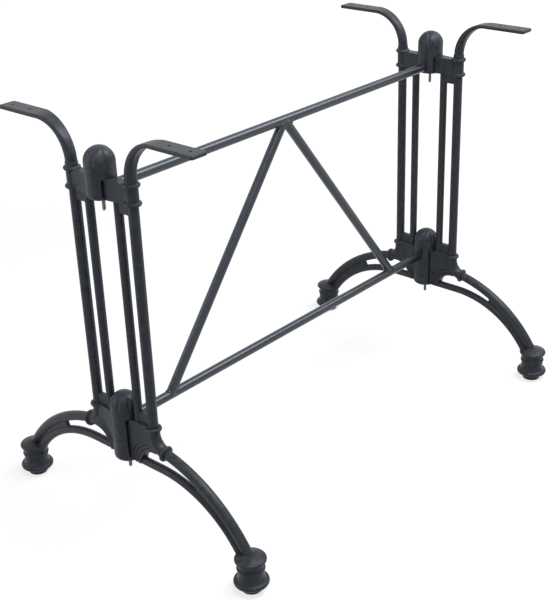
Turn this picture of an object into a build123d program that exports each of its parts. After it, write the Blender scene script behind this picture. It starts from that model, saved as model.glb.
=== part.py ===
from build123d import *
from math import cos, radians, sin
import os

# A twin-end table frame. Each end is a pair of cast side pieces, held together by two fluted hubs.
# A welded truss of round tube ties the ends together.
# Millimetres, +Z up. X runs along the truss and Y across each end.
# The origin is on the floor, in the middle.

# Overall sizes
frame_height = 720.0      # floor to the top of the table tabs
end_spacing = 870.0       # between the hub axes of the two ends
foot_reach = 271.0        # hub axis to the axis of a foot
upper_drop = 77.0         # top of the tabs down to the top of the upper blocks
lower_level = 226.0       # floor to the top of the lower blocks

# Columns of a side piece
column_y = 67.2           # outer column, from the hub axis
column_d = 17.5
post_out = 8.7            # inner column, outwards from the side of a hub
post_d = 14.6
column_web = 9.0          # thickness of the webs between the columns
column_web_h = 18.0       # height of a web, from its block

# Collar, elbow and their beads, measured from the top of the nearest block
collar_d = 21.0
collar_up = 9.0           # the arm starts this far above the upper block
bead_d = 28.2
bead_thick = 7.0
upper_bead_down = 0.5
lower_bead_down = 30.0
elbow_bead_down = 4.0
elbow_from = 13.0         # the elbow starts to turn this far below the lower block's top
elbow_out = 24.8          # sideways run of the elbow
elbow_down = 30.0         # downward run of the elbow

# Arm and table tab
arm_base_w = 19.5
arm_base_thick = 17.5
arm_round = 0.97          # corners of the arm's first section, as a share of half its thickness
arm_sections = 6
tab_flat = 84.0           # length of the flat of a tab
tab_w = 32.0
tab_thick = 6.5
tab_corner = 4.0
tab_edge = 2.2            # rounding of the tab's edges
tab_hole_d = 5.0
tab_hole_end = 18.0       # tip of the tab to the first hole
tab_hole_pitch = 42.0

# Blocks and the tenons that enter the hubs
block_w = 23.0            # at the hub
block_w_out = 16.5        # at the outer column
block_hollow = 1.4        # how far the sides of a block hollow between the two
block_in = 8.8            # a block starts this far inside the round end of its tenon
upper_block_h = 32.0
tenon_w = 25.0
tenon_gap = 0.4           # half the gap between two tenons
tenon_rise = 8.0          # depth of the pocket for a clamp nut and its washer

# Reeded arch under the lower block
arch_out = 4.8            # axis of the arch, outwards from the outer column
arch_down = 81.0          # and down from the top of the lower block
arch_r = 34.0
reed_from = 84.0          # the reeds leave the elbow at this angle round the arch
reed_turn = 94.0          # and follow the arch for this many degrees
reed_w = 7.0
reed_count = 3
reed_core = 15.5          # thickness between the reeds
reed_top = 19.5           # thickness over the reeds

# Leg rails
rail_down = 77.4          # the lower rail leaves the block this far below its top
rail_bend = 14.8          # and starts to curve this far outside the outer column
upper_land_in = 1.5       # end of the upper rail in the foot: inwards from the foot's axis
upper_land_z = 60.0
lower_land_in = 15.0
lower_land_z = 48.0
rail_web = 7.0            # thickness of the panel between the rails
rail_web_from = 0.36      # where that panel starts, as a share of each rail's curve

# Turned foot
foot_bottom = 4.0
foot_base_r = 17.7
foot_ring_r = 29.5
foot_ring_z = 17.0
foot_ring_h = 10.0
foot_flare = 1.0          # how far the flare over the ring hollows
foot_flare_h = 10.0
foot_neck_r = 21.8
foot_disc_r = 26.5
foot_disc_z = 59.0
foot_disc_h = 8.0
foot_top = 68.5
foot_swell = 1.0          # how far the foot's top bows

# Glide under a foot
glide_r = 17.0
glide_edge = 1.2
glide_peg_r = 4.0
glide_peg_h = 12.0

# Hubs
hub_r = 24.8
hub_edge = 7.0
upper_hub_up = 48.0       # crowns above the tops of the blocks, and bases below them
upper_hub_down = 34.0
lower_hub_up = 42.5
lower_hub_down = 82.0
flute_count = 8
flute_r = 6.0
flute_depth = 1.7
flute_drop = 10.0         # a flute runs out this far below the crown
flute_mid = 18.0          # it is deepest at this latitude, in degrees
flute_high = 62.0         # and runs out again at this one
hub_flat = 1.2            # depth of the flat that a lock nut bears on

# Truss
tube_d = 16.8
tube_wall = 1.5
top_bar_down = 20.5       # axes of the bars, below the tops of the blocks
bottom_bar_down = 12.0
apex_x = -13.0            # the braces meet here, on the top bar
brace_run = 320.0         # run of each brace along the bars
plug_len = 16.0

# Fasteners
stud_d = 6.0
stud_below = 22.0         # clamp stud showing below a hub
stud_grip = 14.0          # thread in a hub's crown
stud_chamfer = 0.8
clamp_washer_d = 16.0
clamp_washer_h = 1.6
clamp_nut_af = 10.0
clamp_nut_h = 5.0
bar_stud_d = 8.0
bar_stud_wall = 1.1       # metal left between a stud's end and the slot of its hub
bar_stud_show = 3.0       # stud showing between lock nut and bar
bar_nut_af = 13.0
bar_nut_h = 5.0

# Clearances
slot_clear = 4.0          # each side of a tenon in the slot of its hub
thread_clear = 0.1        # threads and round fits, on the radius
hole_clear = 0.3          # loose holes, on the radius
weld_gap = 0.3            # root gap of a weld
lap = 1.0                 # depth by which cast forms run into each other

# Worked out from the sizes above
end_x = end_spacing / 2
upper_level = frame_height - upper_drop
block_start = hub_r - block_in
post_y = hub_r + post_out
upper_block_base = upper_level - upper_block_h
collar_top = upper_level + collar_up
upper_bead_z = upper_level - upper_bead_down
lower_bead_z = upper_level - lower_bead_down
elbow_bead_z = lower_level - elbow_bead_down
elbow_z = lower_level - elbow_from
arm_r = frame_height - tab_thick / 2 - collar_top
arm_end_y = column_y + arm_r
tab_reach = arm_end_y + tab_flat
arch_y = column_y + arch_out
arch_z = lower_level - arch_down
reed_band = reed_w * reed_count
reed_path_r = arch_r + reed_band / 2
rail_z = lower_level - rail_down
rail_bend_y = column_y + rail_bend
bead_r = bead_thick / 2
upper_hub_base = upper_level - upper_hub_down
lower_hub_base = lower_level - lower_hub_down
upper_tenon_base = upper_hub_base + tenon_rise
lower_tenon_base = lower_hub_base + tenon_rise
hub_slot = tenon_w + 2 * slot_clear
hub_seat = hub_r - hub_flat
tube_r = tube_d / 2
bore_r = tube_r - tube_wall
top_bar_z = upper_level - top_bar_down
bottom_bar_z = lower_level - bottom_bar_down
bar_end_x = end_x - hub_seat - bar_nut_h - bar_stud_show
bar_stud_grip = hub_seat - hub_slot / 2 - bar_stud_wall

os.makedirs("parts", exist_ok=True)


def write(piece, name):
    """Label a finished piece and write its file."""
    piece.label = name
    export_step(piece, f"parts/{name}.step")


def tenon(base_z, top_z):
    """The end of a block, round like its hub, notched for the clamp stud and pocketed for its nut."""
    with BuildPart() as piece:
        with BuildSketch(Plane.XY.offset(top_z)):
            with Locations((0, tenon_gap)):
                Rectangle(tenon_w, hub_r, align=(Align.CENTER, Align.MIN))
            Circle(hub_r, mode=Mode.INTERSECT)
        extrude(amount=base_z - top_z)
        rim = piece.faces().sort_by(Axis.Z)[0].edges().filter_by(GeomType.CIRCLE)
        fillet(rim, radius=hub_edge)
        with BuildSketch(Plane.XY.offset(top_z)):
            Circle(stud_d / 2 + hole_clear)
        extrude(amount=base_z - top_z, mode=Mode.SUBTRACT)
        with BuildSketch(Plane.XY.offset(base_z)):
            Circle(clamp_washer_d / 2 + hole_clear)
        extrude(amount=tenon_rise, mode=Mode.SUBTRACT)
    return piece.part


lower_tenon = tenon(lower_hub_base, lower_level)
upper_tenon = tenon(upper_hub_base, upper_level)

# Cast side piece, on the +Y side of its hubs
with BuildPart() as casting:
    # Table tab with its two screw holes
    with BuildSketch(Plane.XY.offset(frame_height)) as tab_plan:
        with Locations((0, arm_end_y)):
            Rectangle(tab_w, tab_reach - arm_end_y, align=(Align.CENTER, Align.MIN))
        fillet(tab_plan.vertices().group_by(Axis.Y)[-1], radius=tab_corner)
    extrude(amount=-tab_thick)
    rims = casting.faces().filter_by(Axis.Z).edges()
    fillet(rims.filter_by_position(Axis.Y, arm_end_y + lap, tab_reach + lap), radius=tab_edge)
    with Locations(
        (0, tab_reach - tab_hole_end, frame_height),
        (0, tab_reach - tab_hole_end - tab_hole_pitch, frame_height),
    ):
        Hole(tab_hole_d / 2)

    # Two blocks with hollow sides, the lower one cut back to the outer reed of the arch
    for top, base in ((lower_level, arch_z), (upper_level, upper_block_base)):
        with BuildSketch(Plane.XY.offset(top)):
            with BuildLine():
                for side in (1, -1):
                    Line((side * block_w / 2, block_start), (side * block_w / 2, hub_r))
                    SagittaArc(
                        (side * block_w / 2, hub_r),
                        (side * block_w_out / 2, column_y),
                        side * block_hollow,
                    )
                Line((-block_w / 2, block_start), (block_w / 2, block_start))
                Line((-block_w_out / 2, column_y), (block_w_out / 2, column_y))
            make_face()
        extrude(amount=base - top)
    with BuildSketch(Plane.YZ):
        with Locations((arch_y, arch_z)):
            Circle(arch_r + reed_band - lap)
    extrude(amount=block_w, both=True, mode=Mode.SUBTRACT)

    add(lower_tenon)
    add(upper_tenon)

    # Arm, round at the collar and flattening into the tab
    for step in range(arm_sections):
        share = step / (arm_sections - 1)
        turn = radians(90 * share)
        middle = (0, column_y + arm_r * (1 - cos(turn)), collar_top + arm_r * sin(turn))
        width = arm_base_w + (tab_w - arm_base_w) * share**3
        thick = arm_base_thick + (tab_thick - arm_base_thick) * sin(turn) ** 1.5
        corner = thick / 2 * (arm_round + (2 * tab_edge / tab_thick - arm_round) * share)
        with BuildSketch(Plane(origin=middle, x_dir=(1, 0, 0), z_dir=(0, sin(turn), cos(turn)))):
            RectangleRounded(width, thick, corner)
    loft()

    # Outer column, elbow and upper rail are one round bar
    with BuildLine(Plane.YZ) as main_path:
        Line((column_y, collar_top), (column_y, elbow_z))
        elbow = TangentArc(
            (column_y, elbow_z),
            (column_y + elbow_out, elbow_z - elbow_down),
            tangent=(0, -1),
        )
        upper_curve = TangentArc(
            elbow @ 1,
            Vector(0, foot_reach - upper_land_in, upper_land_z),
            tangent=elbow % 1,
        )
    with BuildSketch(Plane(origin=main_path.line @ 0, z_dir=main_path.line % 0)):
        Circle(column_d / 2)
    sweep(path=main_path.line)

    # Inner column
    with BuildSketch(Plane.XY.offset(lower_level - lap)):
        with Locations((0, post_y)):
            Circle(post_d / 2)
    extrude(amount=upper_block_base - lower_level + 2 * lap)

    # Lower rail, straight at first and then curved
    with BuildLine(Plane.YZ) as lower_path:
        straight = Line((block_start, rail_z), (rail_bend_y, rail_z))
        lower_curve = TangentArc(
            straight @ 1,
            Vector(0, foot_reach - lower_land_in, lower_land_z),
            tangent=straight % 1,
        )
    with BuildSketch(Plane(origin=lower_path.line @ 0, z_dir=lower_path.line % 0)):
        Circle(post_d / 2)
    sweep(path=lower_path.line)

    # Panel between the rails, set back from both
    panel_shares = (rail_web_from, (1 + rail_web_from) / 2, 1)
    upper_points = [Plane.YZ.to_local_coords(upper_curve @ share) for share in panel_shares]
    lower_points = [Plane.YZ.to_local_coords(lower_curve @ share) for share in panel_shares]
    with BuildSketch(Plane.YZ):
        with BuildLine():
            over = ThreePointArc(*upper_points)
            under = ThreePointArc(*lower_points)
            Line(over @ 0, under @ 0)
            Line(over @ 1, under @ 1)
        make_face()
    extrude(amount=rail_web / 2, both=True)

    # Webs between the columns, over the lower block and under the upper one
    with BuildSketch(Plane.YZ):
        with Locations(((column_y + post_y) / 2, lower_level - lap)):
            Rectangle(column_y - post_y, column_web_h + lap, align=(Align.CENTER, Align.MIN))
        with Locations(((column_y + post_y) / 2, upper_block_base + lap)):
            Rectangle(column_y - post_y, column_web_h + lap, align=(Align.CENTER, Align.MAX))
    extrude(amount=column_web / 2, both=True)

    # Collar, and the sleeve round the elbow
    with BuildSketch(Plane.XY.offset(lower_bead_z)):
        with Locations((0, column_y)):
            Circle(collar_d / 2)
    extrude(amount=collar_top - lower_bead_z)
    with BuildLine(Plane.YZ) as sleeve_path:
        Line((column_y, elbow_bead_z), (column_y, elbow_z))
        add(elbow)
    with BuildSketch(Plane(origin=sleeve_path.line @ 0, z_dir=sleeve_path.line % 0)):
        Circle(collar_d / 2)
    sweep(path=sleeve_path.line)

    # Beads
    with Locations(
        (0, column_y, upper_bead_z),
        (0, column_y, lower_bead_z),
        (0, column_y, elbow_bead_z),
        Plane(origin=elbow @ 1, z_dir=elbow % 1).location,
    ):
        Torus(bead_d / 2 - bead_r, bead_r)

    # Reeds round the arch, from the elbow to the lower rail
    with BuildLine(Plane.YZ) as reed_path:
        CenterArc((arch_y, arch_z), reed_path_r, reed_from, reed_turn)
    with BuildSketch(Plane(origin=reed_path.line @ 0, x_dir=(1, 0, 0), z_dir=reed_path.line % 0)):
        with BuildLine():
            for side in (1, -1):
                for index in range(reed_count):
                    low = index * reed_w - reed_band / 2
                    ThreePointArc(
                        (side * reed_core / 2, low),
                        (side * reed_top / 2, low + reed_w / 2),
                        (side * reed_core / 2, low + reed_w),
                    )
            for edge in (-reed_band / 2, reed_band / 2):
                Line((-reed_core / 2, edge), (reed_core / 2, edge))
        make_face()
    sweep(path=reed_path.line)

    # Turned foot, with the socket for its glide
    ring_low = foot_ring_z - foot_ring_h / 2
    ring_high = foot_ring_z + foot_ring_h / 2
    ring_in = foot_ring_r - foot_ring_h / 2
    flare_top = ring_high + foot_flare_h
    disc_low = foot_disc_z - foot_disc_h / 2
    disc_high = foot_disc_z + foot_disc_h / 2
    disc_in = foot_disc_r - foot_disc_h / 2
    with BuildSketch(Plane.XZ.offset(-foot_reach)):
        with BuildLine():
            Polyline((0, foot_bottom), (foot_base_r, foot_bottom), (foot_base_r, ring_low))
            Line((foot_base_r, ring_low), (ring_in, ring_low))
            ThreePointArc((ring_in, ring_low), (foot_ring_r, foot_ring_z), (ring_in, ring_high))
            SagittaArc((ring_in, ring_high), (foot_neck_r, flare_top), foot_flare)
            Polyline((foot_neck_r, flare_top), (foot_neck_r, disc_low), (disc_in, disc_low))
            ThreePointArc((disc_in, disc_low), (foot_disc_r, foot_disc_z), (disc_in, disc_high))
            SagittaArc((disc_in, disc_high), (0, foot_top), -foot_swell)
            Line((0, foot_top), (0, foot_bottom))
        make_face()
    revolve(axis=Axis((0, foot_reach, 0), (0, 0, 1)))
    with BuildSketch(Plane.XY.offset(foot_bottom)):
        with Locations((0, foot_reach)):
            Circle(glide_peg_r + thread_clear)
    extrude(amount=glide_peg_h + hole_clear, mode=Mode.SUBTRACT)

with BuildPart() as front_casting:
    mirror(casting.part, about=Plane.XZ)

for end_name, x in (("left", -end_x), ("right", end_x)):
    for side_name, side_piece in (("rear", casting), ("front", front_casting)):
        with BuildPart() as leg:
            with Locations((x, 0, 0)):
                add(side_piece.part)
        write(leg.part, f"{end_name}_{side_name}_leg")

# Glides, one under each foot
for end_name, x in (("left", -end_x), ("right", end_x)):
    for side_name, y in (("rear", foot_reach), ("front", -foot_reach)):
        with BuildPart() as glide:
            with BuildSketch():
                with Locations((x, y)):
                    Circle(glide_r)
            extrude(amount=foot_bottom)
            fillet(glide.faces().sort_by(Axis.Z)[0].edges(), radius=glide_edge)
            with BuildSketch(Plane.XY.offset(foot_bottom)):
                with Locations((x, y)):
                    Circle(glide_peg_r)
            extrude(amount=glide_peg_h)
        write(glide.part, f"{end_name}_{side_name}_glide")


def flute_cutter(dome_z):
    """A bent round cutter that dips into a hub, from below its crown to a latitude on it."""
    reach = hub_r + flute_r
    deep = reach - flute_depth
    middle, high = radians(flute_mid), radians(flute_high)
    with BuildPart() as cutter:
        with BuildLine(Plane.XZ) as track:
            ThreePointArc(
                (reach, dome_z - flute_drop),
                (deep * cos(middle), dome_z + deep * sin(middle)),
                (reach * cos(high), dome_z + reach * sin(high)),
            )
        with BuildSketch(Plane(origin=track.line @ 0, z_dir=track.line % 0)):
            Circle(flute_r)
        sweep(path=track.line)
    return cutter.part


def hub(base_z, top_z, slot_top, bar_z):
    """A bullet-shaped clamp: fluted crown, slot for two tenons, clamp hole and a flat for the bar's nut."""
    dome_z = top_z - hub_r
    cutter = flute_cutter(dome_z)
    with BuildPart() as body:
        with BuildSketch(Plane.XZ):
            with BuildLine():
                Line((0, base_z), (hub_r - hub_edge, base_z))
                TangentArc((hub_r - hub_edge, base_z), (hub_r, base_z + hub_edge), tangent=(1, 0))
                Line((hub_r, base_z + hub_edge), (hub_r, dome_z))
                TangentArc((hub_r, dome_z), (0, top_z), tangent=(0, 1))
                Line((0, top_z), (0, base_z))
            make_face()
        revolve(axis=Axis.Z)
        with PolarLocations(0, flute_count, start_angle=180 / flute_count):
            add(cutter, mode=Mode.SUBTRACT)
        with BuildSketch(Plane.XY.offset(base_z)):
            Rectangle(hub_slot, 2 * hub_r)
        extrude(amount=slot_top - base_z, mode=Mode.SUBTRACT)
        with BuildSketch(Plane.XY.offset(slot_top)):
            Circle(stud_d / 2 + thread_clear)
        extrude(amount=stud_grip, mode=Mode.SUBTRACT)
        with BuildSketch(Plane.YZ.offset(hub_seat)):
            with Locations((0, bar_z)):
                Circle(bar_nut_af)
        extrude(amount=hub_r, mode=Mode.SUBTRACT)
        with BuildSketch(Plane.YZ.offset(hub_seat)):
            with Locations((0, bar_z)):
                Circle(bar_stud_d / 2 + thread_clear)
        extrude(amount=-bar_stud_grip, mode=Mode.SUBTRACT)
    return body.part


upper_hub = hub(upper_hub_base, upper_level + upper_hub_up, upper_level, top_bar_z)
lower_hub = hub(lower_hub_base, lower_level + lower_hub_up, lower_level, bottom_bar_z)
for level, piece in (("upper", upper_hub), ("lower", lower_hub)):
    for end_name, x, turn in (("left", -end_x, 0), ("right", end_x, 180)):
        with BuildPart() as placed:
            with Locations(Location((x, 0, 0), (0, 0, turn))):
                add(piece)
        write(placed.part, f"{end_name}_{level}_hub")

# Truss bars, open tubes that stop short of the hubs
for name, z in (("top_bar", top_bar_z), ("bottom_bar", bottom_bar_z)):
    with BuildPart() as bar:
        with BuildSketch(Plane.YZ.offset(-bar_end_x)):
            with Locations((0, z)):
                Circle(tube_r)
                Circle(bore_r, mode=Mode.SUBTRACT)
        extrude(amount=2 * bar_end_x)
    write(bar.part, name)

# Braces, saddled on both bars and mitred against each other at the apex
brace_rise = top_bar_z - bottom_bar_z
with BuildPart() as saddles:
    with BuildSketch(Plane.YZ.offset(-end_x)):
        with Locations((0, top_bar_z), (0, bottom_bar_z)):
            Circle(tube_r + weld_gap)
    extrude(amount=2 * end_x)
for name, run, kept in (("left_brace", -brace_run, Keep.BOTTOM), ("right_brace", brace_run, Keep.TOP)):
    axis = Vector(run, 0, -brace_rise)
    with BuildPart() as brace:
        with BuildSketch(Plane(origin=(apex_x, 0, top_bar_z), z_dir=axis)):
            Circle(tube_r)
            Circle(bore_r, mode=Mode.SUBTRACT)
        extrude(amount=axis.length)
        add(saddles.part, mode=Mode.SUBTRACT)
        mitre = Plane.YZ.offset(apex_x + weld_gap / 2 * (1 if run > 0 else -1))
        split(bisect_by=mitre, keep=kept)
    write(brace.part, name)

# Plugs welded into the bar ends, tapped for the studs
bar_ends = [(sign, z) for z in (top_bar_z, bottom_bar_z) for sign in (-1, 1)]
with BuildPart() as plugs:
    for sign, z in bar_ends:
        with BuildSketch(Plane.YZ.offset(sign * bar_end_x)):
            with Locations((0, z)):
                Circle(bore_r - thread_clear)
                Circle(bar_stud_d / 2 + thread_clear, mode=Mode.SUBTRACT)
        extrude(amount=-sign * plug_len)
write(plugs.part, "bar_plugs")

# Studs from the plugs into the hubs
with BuildPart() as bar_studs:
    for sign, z in bar_ends:
        with BuildSketch(Plane.YZ.offset(sign * (bar_end_x - plug_len))):
            with Locations((0, z)):
                Circle(bar_stud_d / 2)
        extrude(amount=sign * (plug_len + bar_stud_show + bar_nut_h + bar_stud_grip))
write(bar_studs.part, "bar_studs")

# Lock nuts, tight against the flats on the hubs
with BuildPart() as bar_nuts:
    for sign, z in bar_ends:
        with BuildSketch(Plane.YZ.offset(sign * (end_x - hub_seat))):
            with Locations((0, z)):
                RegularPolygon(bar_nut_af / 2, 6, major_radius=False)
                Circle(bar_stud_d / 2 + thread_clear, mode=Mode.SUBTRACT)
        extrude(amount=-sign * bar_nut_h)
write(bar_nuts.part, "bar_nuts")

# Clamp studs, from the crown of a hub down between its two tenons
for level, base_z, slot_top in (
    ("upper", upper_hub_base, upper_level),
    ("lower", lower_hub_base, lower_level),
):
    with BuildPart() as clamp_studs:
        with BuildSketch(Plane.XY.offset(base_z - stud_below)):
            with Locations((-end_x, 0), (end_x, 0)):
                Circle(stud_d / 2)
        extrude(amount=slot_top + stud_grip - base_z + stud_below)
        chamfer(clamp_studs.faces().group_by(Axis.Z)[0].edges(), length=stud_chamfer)
    write(clamp_studs.part, f"{level}_clamp_studs")

# Washers and nuts that press the tenons up into the hubs
clamps = [(x, z) for z in (upper_tenon_base, lower_tenon_base) for x in (-end_x, end_x)]
with BuildPart() as clamp_washers:
    for x, z in clamps:
        with BuildSketch(Plane.XY.offset(z)):
            with Locations((x, 0)):
                Circle(clamp_washer_d / 2)
                Circle(stud_d / 2 + hole_clear, mode=Mode.SUBTRACT)
        extrude(amount=-clamp_washer_h)
write(clamp_washers.part, "clamp_washers")
with BuildPart() as clamp_nuts:
    for x, z in clamps:
        with BuildSketch(Plane.XY.offset(z - clamp_washer_h)):
            with Locations((x, 0)):
                RegularPolygon(clamp_nut_af / 2, 6, major_radius=False)
                Circle(stud_d / 2 + thread_clear, mode=Mode.SUBTRACT)
        extrude(amount=-clamp_nut_h)
write(clamp_nuts.part, "clamp_nuts")
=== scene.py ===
# %% [markdown]
# A black table frame, dressed for a studio picture.
# The CAD model already has every casting, tube and fastener at its true size and place.
# This lesson gives each of them a finish, adds the small things that a caster and a welder
# leave behind, and then sets up the floor, the light and the camera.

# %% Load the frame
import math

import bpy
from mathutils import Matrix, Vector


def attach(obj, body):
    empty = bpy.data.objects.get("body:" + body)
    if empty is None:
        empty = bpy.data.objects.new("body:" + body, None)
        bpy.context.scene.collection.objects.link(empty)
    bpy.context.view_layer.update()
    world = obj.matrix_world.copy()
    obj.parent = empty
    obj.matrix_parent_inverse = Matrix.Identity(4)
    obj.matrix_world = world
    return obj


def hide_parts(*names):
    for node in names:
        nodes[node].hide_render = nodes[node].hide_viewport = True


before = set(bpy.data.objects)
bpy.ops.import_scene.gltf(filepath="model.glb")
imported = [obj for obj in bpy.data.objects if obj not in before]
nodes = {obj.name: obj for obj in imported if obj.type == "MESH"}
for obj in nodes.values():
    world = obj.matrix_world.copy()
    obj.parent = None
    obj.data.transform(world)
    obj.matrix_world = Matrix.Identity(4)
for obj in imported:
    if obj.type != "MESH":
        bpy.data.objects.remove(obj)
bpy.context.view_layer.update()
print("CAD nodes:", len(nodes))

# %% [markdown]
# The four cast legs and the four hubs share one finish, and the four tubes share another.
# Grouping the node names once keeps the later cells short, and tells at a glance which pieces
# of the object belong together.

# %% Group the pieces by what they are
ENDS = ("left", "right")
SIDES = ("rear", "front")
legs = [f"{end}_{side}_leg" for end in ENDS for side in SIDES]
glides = [f"{end}_{side}_glide" for end in ENDS for side in SIDES]
hubs = [f"{end}_{level}_hub" for end in ENDS for level in ("upper", "lower")]
tubes = ["top_bar", "bottom_bar", "left_brace", "right_brace"]
fasteners = [name for name in nodes if name not in legs + glides + hubs + tubes]
print("castings:", len(legs + hubs), "tubes:", len(tubes), "fasteners:", fasteners)

# %% [markdown]
# Every finish below is a small graph of nodes. Four helpers keep those graphs readable: one
# starts a material and returns its shader, one adds a node and fills in its values, one maps a
# value from one range to another, and one blends two colours. Most of what a noise texture gives
# lies in the range that is named here.

# %% Helpers for node graphs
NOISE_RANGE = (0.3, 0.7)


def new_finish(name):
    """Start a material and return it with its node tree and its shader."""
    finish = bpy.data.materials.new(name)
    finish.use_nodes = True
    tree = finish.node_tree
    return finish, tree, tree.nodes["Principled BSDF"]


def add_node(tree, kind, **values):
    """Add a node. Values that name an input fill that input, and the others set a property."""
    node = tree.nodes.new(kind)
    for name, value in values.items():
        label = name.replace("_", " ").title()
        if label in node.inputs:
            node.inputs[label].default_value = value
        else:
            setattr(node, name, value)
    return node


def ramp(tree, source, low, high, to_low, to_high):
    """Map a value from one range to another, clamped at both ends."""
    node = add_node(
        tree, "ShaderNodeMapRange", from_min=low, from_max=high, to_min=to_low, to_max=to_high
    )
    tree.links.new(source, node.inputs["Value"])
    return node.outputs["Result"]


def blend(tree, share, dark, pale):
    """Blend a dark and a pale colour by a share from 0 to 1."""
    node = add_node(tree, "ShaderNodeMix", data_type="RGBA")
    node.inputs["A"].default_value = (*dark, 1)
    node.inputs["B"].default_value = (*pale, 1)
    tree.links.new(share, node.inputs["Factor"])
    return node.outputs["Result"]


print("helpers ready")

# %% [markdown]
# Iron poured into sand keeps the sand's grain, and the powder coat over it softens that grain
# into shallow pits and swells. One node group makes this height for all the coated pieces, and
# each finish sets its own grain size. Noise on Object coordinates is in metres, so a scale of
# 900 gives grains of about a millimetre.

# %% Node group: grain of a coated surface
GRAIN_SHARE = 0.35
grain_group = bpy.data.node_groups.new("coated_grain", "ShaderNodeTree")
grain_group.interface.new_socket("Grain Scale", in_out="INPUT", socket_type="NodeSocketFloat")
grain_group.interface.new_socket("Swell Scale", in_out="INPUT", socket_type="NodeSocketFloat")
grain_group.interface.new_socket("Height", in_out="OUTPUT", socket_type="NodeSocketFloat")
grain_group.interface.new_socket("Mottle", in_out="OUTPUT", socket_type="NodeSocketFloat")
group_in = grain_group.nodes.new("NodeGroupInput")
group_out = grain_group.nodes.new("NodeGroupOutput")
place = grain_group.nodes.new("ShaderNodeTexCoord")
grain = add_node(grain_group, "ShaderNodeTexNoise", detail=3.0, roughness=0.6)
swell = add_node(grain_group, "ShaderNodeTexNoise", detail=2.0, roughness=0.5)
both = add_node(grain_group, "ShaderNodeMath", operation="MULTIPLY_ADD")
both.inputs[1].default_value = GRAIN_SHARE
for texture, socket in ((grain, "Grain Scale"), (swell, "Swell Scale")):
    grain_group.links.new(place.outputs["Object"], texture.inputs["Vector"])
    grain_group.links.new(group_in.outputs[socket], texture.inputs["Scale"])
grain_group.links.new(grain.outputs["Fac"], both.inputs[0])
grain_group.links.new(swell.outputs["Fac"], both.inputs[2])
grain_group.links.new(both.outputs["Value"], group_out.inputs["Height"])
grain_group.links.new(swell.outputs["Fac"], group_out.inputs["Mottle"])
print("group:", grain_group.name)

# %% [markdown]
# Powder pulls back from a sharp edge while it melts, so edges carry a thinner and paler coat. The
# paler edges are also a painted highlight, which stands in for the pale rim that light draws along
# an edge.
# The Bevel node gives the normal that a rounded edge would have. Where that differs from the
# true normal there is an edge. The mask comes from how far the two agree.

# %% Node group: thin coat on the edges
EDGE_AGREES = 0.8
FLAT_AGREES = 0.99
edge_group = bpy.data.node_groups.new("thin_coat_and_painted_highlight_edges", "ShaderNodeTree")
edge_group.interface.new_socket("Width", in_out="INPUT", socket_type="NodeSocketFloat")
edge_group.interface.new_socket("Mask", in_out="OUTPUT", socket_type="NodeSocketFloat")
edge_group.interface.new_socket("Soft Normal", in_out="OUTPUT", socket_type="NodeSocketVector")
group_in = edge_group.nodes.new("NodeGroupInput")
group_out = edge_group.nodes.new("NodeGroupOutput")
rounded = add_node(edge_group, "ShaderNodeBevel", samples=4)
surface = edge_group.nodes.new("ShaderNodeNewGeometry")
agree = add_node(edge_group, "ShaderNodeVectorMath", operation="DOT_PRODUCT")
edge_group.links.new(group_in.outputs["Width"], rounded.inputs["Radius"])
edge_group.links.new(rounded.outputs["Normal"], agree.inputs[0])
edge_group.links.new(surface.outputs["Normal"], agree.inputs[1])
mask = ramp(edge_group, agree.outputs["Value"], EDGE_AGREES, FLAT_AGREES, 1.0, 0.0)
edge_group.links.new(mask, group_out.inputs["Mask"])
edge_group.links.new(rounded.outputs["Normal"], group_out.inputs["Soft Normal"])
print("group:", edge_group.name)

# %% [markdown]
# The coat itself is satin black with a faint blue. Cast pieces and drawn tubes get the same
# graph with different values: the castings are grainier and a little rougher, and the tubes
# show only the fine orange peel of the powder. Making the graph in a function means that the
# two finishes can't drift apart.

# %% Powder coat for castings and tubes
EDGE_WIDTH = 0.0009
# How much paler the edges are painted: partly a thin coat, partly a painted highlight along each
# edge.
EDGE_THIN_COAT_AND_HIGHLIGHT = 0.45
MOTTLE_PALENESS = 0.5
MOTTLE_RANGE = (0.35, 0.65)
BUMP_STRENGTH = 0.6
BLUE_SHEEN = (0.76, 0.87, 1.0, 1)


def powder_coat(name, dark, pale, grain_scale, swell_scale, depth, rough, shine):
    """A satin coat: mottled colour and gloss, grain as bump, and softened edges painted paler, for
    a thin coat and as a painted highlight.
    """
    finish, tree, shader = new_finish(name)
    coat = add_node(tree, "ShaderNodeGroup", node_tree=grain_group)
    coat.inputs["Grain Scale"].default_value = grain_scale
    coat.inputs["Swell Scale"].default_value = swell_scale
    edges = add_node(tree, "ShaderNodeGroup", node_tree=edge_group)
    edges.inputs["Width"].default_value = EDGE_WIDTH
    mottle = coat.outputs["Mottle"]
    # The edge mask paints a highlight along the edges, on top of the random mottle of the coat.
    paleness = add_node(tree, "ShaderNodeMath", operation="MULTIPLY_ADD", use_clamp=True)
    paleness.inputs[1].default_value = EDGE_THIN_COAT_AND_HIGHLIGHT
    tree.links.new(edges.outputs["Mask"], paleness.inputs[0])
    tree.links.new(ramp(tree, mottle, *MOTTLE_RANGE, 0.0, MOTTLE_PALENESS), paleness.inputs[2])
    colour = blend(tree, paleness.outputs["Value"], dark, pale)
    tree.links.new(colour, shader.inputs["Base Color"])
    tree.links.new(ramp(tree, mottle, *NOISE_RANGE, *rough), shader.inputs["Roughness"])
    bump = add_node(tree, "ShaderNodeBump", strength=BUMP_STRENGTH, distance=depth)
    tree.links.new(coat.outputs["Height"], bump.inputs["Height"])
    tree.links.new(edges.outputs["Soft Normal"], bump.inputs["Normal"])
    tree.links.new(bump.outputs["Normal"], shader.inputs["Normal"])
    shader.inputs["Specular IOR Level"].default_value = shine
    shader.inputs["Specular Tint"].default_value = BLUE_SHEEN
    return finish


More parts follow.
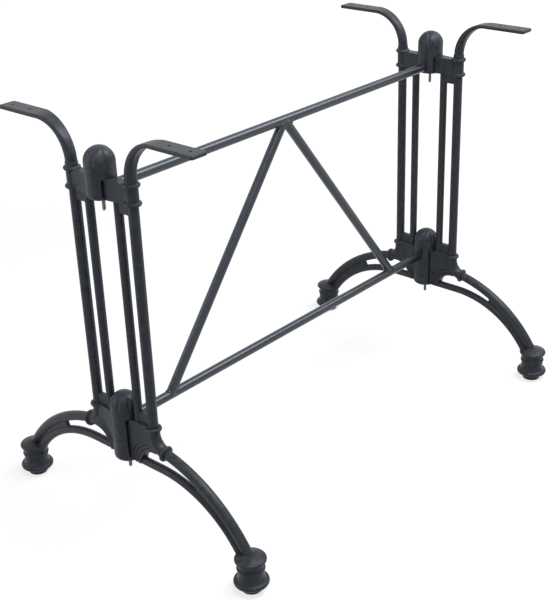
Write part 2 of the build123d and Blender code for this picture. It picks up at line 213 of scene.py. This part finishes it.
casting_coat = powder_coat(
    "casting_coat",
    dark=(0.0180, 0.0195, 0.0236),
    pale=(0.046, 0.0498, 0.0598),
    grain_scale=900,
    swell_scale=110,
    depth=0.00035,
    rough=(0.33, 0.45),
    shine=0.25,
)
tube_coat = powder_coat(
    "tube_coat",
    dark=(0.0095, 0.0103, 0.0129),
    pale=(0.022, 0.0242, 0.0296),
    grain_scale=1300,
    swell_scale=60,
    depth=0.00005,
    rough=(0.27, 0.35),
    shine=0.68,
)
print("finishes:", casting_coat.name, tube_coat.name)

# %% [markdown]
# The studs, nuts and washers are bright steel under a dull zinc plating. Plating is nearly even,
# so a little mottling in colour and gloss is enough to keep it from looking like chrome.

# %% Zinc plating for the fasteners
ZINC_DARK = (0.17, 0.16, 0.145)
ZINC_PALE = (0.28, 0.265, 0.245)
ZINC_ROUGH = (0.34, 0.5)
zinc, tree, shader = new_finish("zinc_plating")
shader.inputs["Metallic"].default_value = 1.0
bloom = add_node(tree, "ShaderNodeGroup", node_tree=grain_group)
bloom.inputs["Grain Scale"].default_value = 1500
bloom.inputs["Swell Scale"].default_value = 350
mottle = bloom.outputs["Mottle"]
tree.links.new(blend(tree, mottle, ZINC_DARK, ZINC_PALE), shader.inputs["Base Color"])
tree.links.new(ramp(tree, mottle, *NOISE_RANGE, *ZINC_ROUGH), shader.inputs["Roughness"])
print("finish:", zinc.name)

# %% [markdown]
# The glides are moulded nylon, matte and a little scuffed where they slide on the floor.

# %% Nylon for the glides
NYLON_DARK = (0.012, 0.012, 0.012)
NYLON_SCUFFED = (0.035, 0.035, 0.034)
NYLON_ROUGH = (0.55, 0.75)
SCUFF_RANGE = (0.4, 0.7)
nylon, tree, shader = new_finish("glide_nylon")
scuff = add_node(tree, "ShaderNodeGroup", node_tree=grain_group)
scuff.inputs["Grain Scale"].default_value = 1100
scuff.inputs["Swell Scale"].default_value = 260
mottle = scuff.outputs["Mottle"]
worn = ramp(tree, mottle, *SCUFF_RANGE, 0.0, 1.0)
tree.links.new(blend(tree, worn, NYLON_DARK, NYLON_SCUFFED), shader.inputs["Base Color"])
tree.links.new(ramp(tree, mottle, *NOISE_RANGE, *NYLON_ROUGH), shader.inputs["Roughness"])
print("finish:", nylon.name)

# %% [markdown]
# The plugs, studs and lock nuts of the bars are as black as the tubes, so they share the tubes'
# finish. The clamp studs, nuts and washers show bare zinc.

# %% Put each finish on its pieces
painted = tubes + ["bar_plugs", "bar_studs", "bar_nuts"]
plated = [name for name in fasteners if name not in painted]
finishes = ((legs + hubs, casting_coat), (painted, tube_coat), (plated, zinc), (glides, nylon))
for names, finish in finishes:
    for name in names:
        mesh = nodes[name].data
        mesh.materials.clear()
        mesh.materials.append(finish)
    print(finish.name, "on", len(names), "pieces")

# %% [markdown]
# The next cells add pieces that are too fine for the CAD model. Each new piece takes its place from
# the CAD nodes, so the first helper reads the box round a node. The second ends every piece in the
# same way: it gets its name, its finish, and the body that it rides on. The last two select pieces
# and count their triangles.

# %% Helpers for new pieces


def box(name):
    """Lowest and highest corner of a CAD node."""
    corners = [Vector(corner) for corner in nodes[name].bound_box]
    low = Vector([min(corner[axis] for corner in corners) for axis in range(3)])
    high = Vector([max(corner[axis] for corner in corners) for axis in range(3)])
    return low, high


def dress(piece, name, finish):
    """Name a new piece, and give it a finish and a body."""
    piece.name = name
    piece.data.materials.clear()
    piece.data.materials.append(finish)
    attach(piece, "root")


def select_only(*pieces):
    """Select some pieces and nothing else, the first of them active."""
    bpy.ops.object.select_all(action="DESELECT")
    for piece in pieces:
        piece.select_set(True)
    bpy.context.view_layer.objects.active = pieces[0]


def triangles(piece):
    """How many triangles a piece has."""
    return sum(len(face.vertices) - 2 for face in piece.data.polygons)


print("top bar:", [tuple(round(value, 3) for value in corner) for corner in box("top_bar")])

# %% [markdown]
# The braces are welded to the bars, and a weld leaves a bead in the corner. Where two round tubes
# of one size meet at an angle, the corner is half an ellipse on each side, in the plane that
# halves that angle. So half a bead starts as a Bezier circle with four points: one is deleted,
# and the rest is opened and stretched to the ellipse.

# %% Half a weld bead
BEAD_R = 0.0026
HALF_TURN = math.pi
QUARTER_TURN = math.pi / 2


def half_bead(centre, angle, reach, half_width):
    """Half an ellipse of weld that reaches out at an angle in the X-Z plane."""
    bpy.ops.object.select_all(action="DESELECT")
    bpy.ops.curve.primitive_bezier_circle_add(radius=1.0)
    bead = bpy.context.object
    curve = bead.data
    curve.resolution_u = 10
    curve.bevel_resolution = 2
    curve.bevel_depth = BEAD_R
    curve.use_fill_caps = True
    bpy.ops.object.mode_set(mode="EDIT")
    bpy.ops.curve.select_all(action="DESELECT")
    back = min(curve.splines[0].bezier_points, key=lambda point: point.co.x)
    back.select_control_point = True
    bpy.ops.curve.delete(type="VERT")
    bpy.ops.curve.select_all(action="SELECT")
    if curve.splines[0].use_cyclic_u:
        bpy.ops.curve.cyclic_toggle()
    bpy.ops.transform.resize(value=(reach, half_width, 1.0), center_override=(0, 0, 0))
    bpy.ops.object.mode_set(mode="OBJECT")
    bead.rotation_euler = (0, -angle, 0)
    bead.location = centre
    bpy.ops.object.convert(target="MESH")
    bpy.ops.object.transform_apply(location=True, rotation=True, scale=True)
    return bead


print("bead radius in mm:", BEAD_R * 1000)

# %% [markdown]
# On the real joint the bead runs round in one pass. The halves of one joint are joined, a voxel
# remesh melts them into one skin, a smoothing pass rounds the places where they meet, and a cloud
# texture gives the skin the small swells of a weld laid by hand.

# %% One continuous weld for each joint
BEAD_VOXEL = 0.0005
BEAD_WOBBLE = 0.0010
weld_noise = bpy.data.textures.new("weld_noise", "CLOUDS")
weld_noise.noise_scale = 0.0035


def weld(name, *halves):
    """Melt half beads into one weld and give it the finish of the tubes."""
    select_only(*halves)
    bpy.ops.object.join()
    bead = bpy.context.object
    melt = bead.modifiers.new("melt", "REMESH")
    melt.mode = "VOXEL"
    melt.voxel_size = BEAD_VOXEL
    bpy.ops.object.modifier_apply(modifier="melt")
    soften = bead.modifiers.new("soften", "SMOOTH")
    soften.factor = 0.5
    soften.iterations = 8
    bpy.ops.object.modifier_apply(modifier="soften")
    wobble = bead.modifiers.new("wobble", "DISPLACE")
    wobble.texture = weld_noise
    wobble.strength = BEAD_WOBBLE
    bpy.ops.object.modifier_apply(modifier="wobble")
    bpy.ops.object.shade_smooth()
    dress(bead, name, tube_coat)
    print(name, "triangles:", triangles(bead))


print("melted at voxels of mm:", BEAD_VOXEL * 1000)

# %% [markdown]
# The places come from the CAD boxes. The bars give the two heights and the tube's radius, and a
# brace's lowest corner lies a little outside the point where its axis meets the bottom bar.

# %% Weld the braces to the bars
bar_low, bar_high = box("top_bar")
tube_r = (bar_high.y - bar_low.y) / 2
top_z = bar_high.z - tube_r
bottom_z = box("bottom_bar")[1].z - tube_r
apex_x = (box("left_brace")[1].x + box("right_brace")[0].x) / 2
brace_reach = apex_x - box("left_brace")[0].x
slope = math.atan2(top_z - bottom_z, brace_reach)
brace_run = brace_reach - tube_r * math.tan(slope / 2)
half_slope = math.atan2(top_z - bottom_z, brace_run) / 2
acute_reach = tube_r / math.sin(half_slope)
obtuse_reach = tube_r / math.cos(half_slope)
seam_reach = tube_r / math.cos(2 * half_slope)
for end, sign, inward in (("left", -1, 0), ("right", 1, HALF_TURN)):
    foot = Vector((apex_x + sign * brace_run, 0, bottom_z))
    inner = half_bead(foot, inward - sign * half_slope, acute_reach, tube_r)
    outer = half_bead(foot, QUARTER_TURN - sign * half_slope, obtuse_reach, tube_r)
    weld(f"{end}_foot_weld", inner, outer)
apex = Vector((apex_x, 0, top_z))
left_half = half_bead(apex, HALF_TURN + half_slope, acute_reach, tube_r)
right_half = half_bead(apex, -half_slope, acute_reach, tube_r)
seam = half_bead(apex, -QUARTER_TURN, seam_reach, tube_r)
weld("apex_weld", left_half, right_half, seam)

# %% [markdown]
# The clamp studs stand out below the hubs with their threads bare. A thread is a triangle carried
# round a screw line, so a circle with three corners is stood on edge at the stud's side, and the
# Screw modifier turns it upwards by one pitch each turn. A plain core fills the middle. The upper
# and lower studs differ in length, so one of each is modelled, and the other end gets a copy. A
# triangle with equal sides is half as high again as the radius of the circle round it.

# %% Threaded clamp studs
PITCH = 0.001
THREAD_DEPTH = 0.0006
THREAD_LEN = 0.026
STUD_CHAMFER = 0.0006
STUD_SIDES = 32
THREAD_SIDES = 3
THREAD_STEPS = 24
TRIANGLE_HEIGHT = 1.5


def threaded_stud(foot, stud_r, height):
    """A stud with a chamfered core and a real screw thread on its lower end."""
    bpy.ops.object.select_all(action="DESELECT")
    root_r = stud_r - THREAD_DEPTH
    bpy.ops.mesh.primitive_cylinder_add(
        vertices=STUD_SIDES, radius=root_r, depth=height, location=foot + Vector((0, 0, height / 2))
    )
    core = bpy.context.object
    bpy.ops.object.transform_apply(location=True)
    rim = core.modifiers.new("rim", "BEVEL")
    rim.width = STUD_CHAMFER
    rim.segments = 1
    bpy.ops.object.modifier_apply(modifier="rim")
    bpy.ops.object.select_all(action="DESELECT")
    corner_r = THREAD_DEPTH / TRIANGLE_HEIGHT
    bpy.ops.mesh.primitive_circle_add(
        vertices=THREAD_SIDES,
        radius=corner_r,
        location=(stud_r - corner_r, 0, 0),
        rotation=(QUARTER_TURN, QUARTER_TURN, 0),
    )
    thread = bpy.context.object
    bpy.ops.object.transform_apply(location=True, rotation=True)
    screw = thread.modifiers.new("screw", "SCREW")
    screw.screw_offset = PITCH
    screw.iterations = round(THREAD_LEN / PITCH)
    screw.steps = screw.render_steps = THREAD_STEPS
    bpy.ops.object.modifier_apply(modifier="screw")
    bpy.ops.object.mode_set(mode="EDIT")
    bpy.ops.mesh.select_all(action="SELECT")
    bpy.ops.mesh.fill_holes(sides=THREAD_SIDES)
    bpy.ops.mesh.select_all(action="SELECT")
    bpy.ops.mesh.normals_make_consistent(inside=False)
    bpy.ops.object.mode_set(mode="OBJECT")
    thread.location = foot + Vector((0, 0, PITCH + STUD_CHAMFER))
    bpy.ops.object.transform_apply(location=True)
    select_only(core, thread)
    bpy.ops.object.join()
    return core


for level in ("upper", "lower"):
    node = f"{level}_clamp_studs"
    low, high = box(node)
    stud_r = (high.y - low.y) / 2
    studs = threaded_stud(Vector((low.x + stud_r, 0, low.z)), stud_r, high.z - low.z)
    select_only(studs)
    bpy.ops.object.duplicate()
    twin = bpy.context.object
    bpy.ops.transform.translate(value=(high.x - low.x - 2 * stud_r, 0, 0))
    bpy.ops.object.transform_apply(location=True)
    select_only(studs, twin)
    bpy.ops.object.join()
    dress(studs, f"{level}_threaded_studs", zinc)
    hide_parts(node)
    print(studs.name, "triangles:", triangles(studs))

# %% [markdown]
# A lock nut has its corners turned off at both faces. A hexagon longer than the nut is cut by a
# round bar with bevelled rims, a little thinner than the hexagon's corners: the bar's faces become
# the nut's faces, and its rims take off the corners. No two faces of the cut lie in one plane,
# which keeps the result closed.

# %% Lock nuts with turned corners
NUT_H = 0.005
NUT_CHAMFER = 0.0009
HEX_SIDES = 6
TURNED_SIDES = 48
TURNED_SHARE = 0.985
low, high = box("bar_nuts")
nut_r = (high.y - low.y) / 2
bpy.ops.object.select_all(action="DESELECT")
bpy.ops.mesh.primitive_cylinder_add(
    vertices=HEX_SIDES, radius=nut_r, depth=2 * NUT_H, rotation=(0, QUARTER_TURN, 0)
)
nut = bpy.context.object
bpy.ops.object.transform_apply(rotation=True)
bpy.ops.object.select_all(action="DESELECT")
bpy.ops.mesh.primitive_cylinder_add(
    vertices=TURNED_SIDES, radius=nut_r * TURNED_SHARE, depth=NUT_H, rotation=(0, QUARTER_TURN, 0)
)
turned = bpy.context.object
bpy.ops.object.transform_apply(rotation=True)
rim = turned.modifiers.new("rim", "BEVEL")
rim.width = NUT_CHAMFER
rim.segments = 1
bpy.ops.object.modifier_apply(modifier="rim")
select_only(nut)
cut = nut.modifiers.new("cut", "BOOLEAN")
cut.operation = "INTERSECT"
cut.object = turned
bpy.ops.object.modifier_apply(modifier="cut")
select_only(turned)
bpy.ops.object.delete()
nut_x = high.x - NUT_H / 2
nut_places = [Vector((sign * nut_x, 0, z)) for z in (top_z, bottom_z) for sign in (-1, 1)]
nuts = []
for nut_place in nut_places:
    select_only(nut)
    bpy.ops.object.duplicate()
    copy = bpy.context.object
    bpy.ops.transform.translate(value=nut_place)
    bpy.ops.object.transform_apply(location=True)
    nuts.append(copy)
select_only(nut)
bpy.ops.object.delete()
select_only(*nuts)
bpy.ops.object.join()
dress(nuts[0], "turned_lock_nuts", tube_coat)
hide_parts("bar_nuts")
print("lock nuts:", len(nut_places))

# %% [markdown]
# Half way down the neck of each turned foot runs a thin cast bead. A torus round the neck is close
# to it, but a bead from a pattern is taller than it is deep, so the torus is stretched upwards in
# edit mode. A faint wobble takes away the machined look. One bead is modelled, and the other feet
# get copies at the places of their glides.

# %% Beads on the feet
FOOT_NECK_R = 0.0216
FOOT_BEAD_R = 0.0020
FOOT_BEAD_Z = 0.0425
FOOT_BEAD_STRETCH = 1.35
SAND_WOBBLE = 0.0003
sand_noise = bpy.data.textures.new("sand_noise", "CLOUDS")
sand_noise.noise_scale = 0.006
bpy.ops.object.select_all(action="DESELECT")
bpy.ops.mesh.primitive_torus_add(
    major_segments=96, minor_segments=20, major_radius=FOOT_NECK_R, minor_radius=FOOT_BEAD_R
)
pattern = bpy.context.object
bpy.ops.object.mode_set(mode="EDIT")
bpy.ops.mesh.select_all(action="SELECT")
bpy.ops.transform.resize(value=(1, 1, FOOT_BEAD_STRETCH))
bpy.ops.object.mode_set(mode="OBJECT")
wobble = pattern.modifiers.new("wobble", "DISPLACE")
wobble.texture = sand_noise
wobble.strength = SAND_WOBBLE
bpy.ops.object.modifier_apply(modifier="wobble")
bpy.ops.object.shade_smooth()
for glide in glides:
    low, high = box(glide)
    foot_axis = (low + high) / 2
    select_only(pattern)
    bpy.ops.object.duplicate()
    bead = bpy.context.object
    bead.location = (foot_axis.x, foot_axis.y, FOOT_BEAD_Z)
    bpy.ops.object.transform_apply(location=True)
    dress(bead, glide.replace("glide", "foot_bead"), casting_coat)
select_only(pattern)
bpy.ops.object.delete()
print("foot beads:", len(glides))

# %% [markdown]
# The floor and the room should look white without lighting the object more. The Light Path node
# tells what kind of ray asks, so a helper gives one to rays from the camera, in a reflection or
# through glass, and nothing to the rays that gather light.

# %% Helper for what is seen but sheds no light


def seen_or_mirrored(tree):
    """One for rays from the camera, in a reflection or through glass, and zero for the others."""
    path = tree.nodes.new("ShaderNodeLightPath")
    direct = add_node(tree, "ShaderNodeMath", operation="MAXIMUM")
    mirrored = add_node(tree, "ShaderNodeMath", operation="MAXIMUM")
    tree.links.new(path.outputs["Is Camera Ray"], direct.inputs[0])
    tree.links.new(path.outputs["Is Glossy Ray"], direct.inputs[1])
    tree.links.new(direct.outputs["Value"], mirrored.inputs[0])
    tree.links.new(path.outputs["Is Transmission Ray"], mirrored.inputs[1])
    return mirrored.outputs["Value"]


print("helper ready: seen_or_mirrored")

# %% [markdown]
# The floor is a wide grey sheet, lifted to the white of the page by a glow that only those rays
# see. The glow is weaker near the object, so that the soft shadows at the feet still show.

# %% Floor
FLOOR_SIZE = 12
FLOOR_GREY = (0.3, 0.3, 0.3, 1)
FLOOR_ROUGH = 0.9
SHADOW_REACH = (1.2, 3.0)
GLOW_RANGE = (0.75, 0.98)
bpy.ops.object.select_all(action="DESELECT")
bpy.ops.mesh.primitive_plane_add(size=FLOOR_SIZE)
floor = bpy.context.object
floor.name = "floor"
paper, tree, shader = new_finish("floor_paper")
shader.inputs["Base Color"].default_value = FLOOR_GREY
shader.inputs["Roughness"].default_value = FLOOR_ROUGH
shader.inputs["Specular IOR Level"].default_value = 0.0
shader.inputs["Emission Color"].default_value = (1, 1, 1, 1)
where = tree.nodes.new("ShaderNodeTexCoord")
away = add_node(tree, "ShaderNodeVectorMath", operation="LENGTH")
tree.links.new(where.outputs["Object"], away.inputs[0])
glow = ramp(tree, away.outputs["Value"], *SHADOW_REACH, *GLOW_RANGE)
lift = add_node(tree, "ShaderNodeMath", operation="MULTIPLY")
tree.links.new(glow, lift.inputs[0])
tree.links.new(seen_or_mirrored(tree), lift.inputs[1])
tree.links.new(lift.outputs["Value"], shader.inputs["Emission Strength"])
floor.data.materials.append(paper)
print("floor:", floor.dimensions[:])

# %% [markdown]
# The room is an even grey-white, like a light tent. The camera and reflections see it as white,
# while the light that it sheds is kept lower, so that the black coat keeps its depth.

# %% World
TENT_LIGHT = 0.2
TENT_WHITE = 1.0
world = bpy.data.worlds.new("light_tent")
bpy.context.scene.world = world
world.use_nodes = True
tree = world.node_tree
sky = tree.nodes["Background"]
sky.inputs["Color"].default_value = (1, 1, 1, 1)
strength = ramp(tree, seen_or_mirrored(tree), 0.0, 1.0, TENT_LIGHT, TENT_WHITE)
tree.links.new(strength, sky.inputs["Strength"])
print("world:", world.name)

# %% [markdown]
# Three broad lamps do the rest. A long one hangs over the front right, in line with the bars, so
# that it draws one pale line from end to end of each. A tall one stands on the left and rounds the
# columns and hubs with a pale edge, and a weak one fills in from the front.

# %% Lamps


def softbox(name, width, height, power, place, target):
    """An area lamp of one size and power, turned towards a point."""
    data = bpy.data.lights.new(name, "AREA")
    data.shape = "RECTANGLE"
    data.size = width
    data.size_y = height
    data.energy = power
    lamp = bpy.data.objects.new(name, data)
    bpy.context.scene.collection.objects.link(lamp)
    lamp.location = place
    lamp.rotation_euler = (Vector(target) - Vector(place)).to_track_quat("-Z", "Y").to_euler()
    return lamp


overhead = softbox(
    "overhead", width=3.6, height=0.9, power=90, place=(0.7, -0.9, 2.4), target=(0.7, 0, 0.4)
)
side_strip = softbox(
    "side_strip", width=0.7, height=1.8, power=11, place=(-1.9, 1.2, 1.0), target=(-0.2, 0, 0.4)
)
front_fill = softbox(
    "front_fill", width=1.8, height=1.8, power=4, place=(-2.0, -0.6, 1.7), target=(0, 0, 0.35)
)
print("lamps:", overhead.name, side_strip.name, front_fill.name)

# %% [markdown]
# The camera stands in front of the left end, half a metre above the tabs, and was matched to the
# picture that the table is built from. That picture is taller than wide, so the lens is measured
# against its height.

# %% Camera
LENS_MM = 71.1
CAMERA_PLACE = (-1.5196, -1.3260, 1.2415)
CAMERA_TURN_DEG = (64.214, 1.959, -48.770)
bpy.context.scene.view_settings.view_transform = "Standard"
camera_data = bpy.data.cameras.new("camera")
camera_data.lens = LENS_MM
camera = bpy.data.objects.new("camera", camera_data)
bpy.context.scene.collection.objects.link(camera)
camera.location = CAMERA_PLACE
camera.rotation_euler = [math.radians(angle) for angle in CAMERA_TURN_DEG]
bpy.context.scene.camera = camera
print("camera at", tuple(camera.location))
